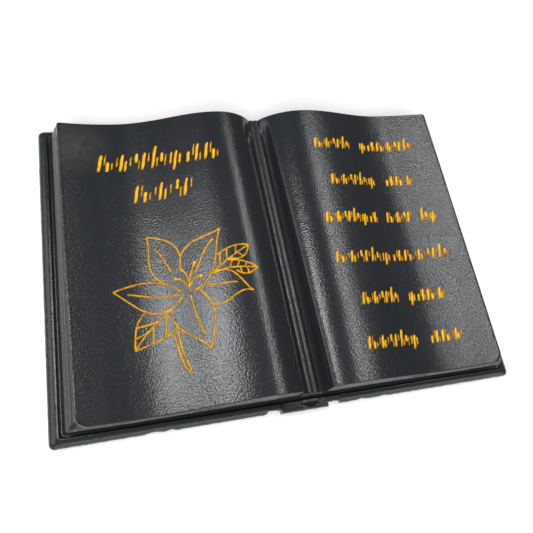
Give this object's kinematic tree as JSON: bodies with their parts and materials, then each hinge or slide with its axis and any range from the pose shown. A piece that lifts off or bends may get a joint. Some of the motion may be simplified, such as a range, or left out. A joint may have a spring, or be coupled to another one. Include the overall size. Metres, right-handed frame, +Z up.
{
  "type": "open book memorial plaque",
  "caption": "Small graveside memorial plaque cast as an open book lying flat, with waved pages, a ribbed gutter, cover boards, engraved rows of strokes and an engraved lily.",
  "frame": {"origin": "on the ground under the middle of the casting", "axes": "+X across the spread from the left page to the right, +Y up the pages to their heads, +Z up"},
  "size_m": [0.1806, 0.1264, 0.0199],
  "materials": {
    "black_resin": "satin black paint on cast resin, with a fine leathery grain",
    "gold_paint": "amber gold paint filling the engraved lines"
  },
  "bodies": {
    "root": {"book_plaque": "black_resin"}
  },
  "joints": []
}
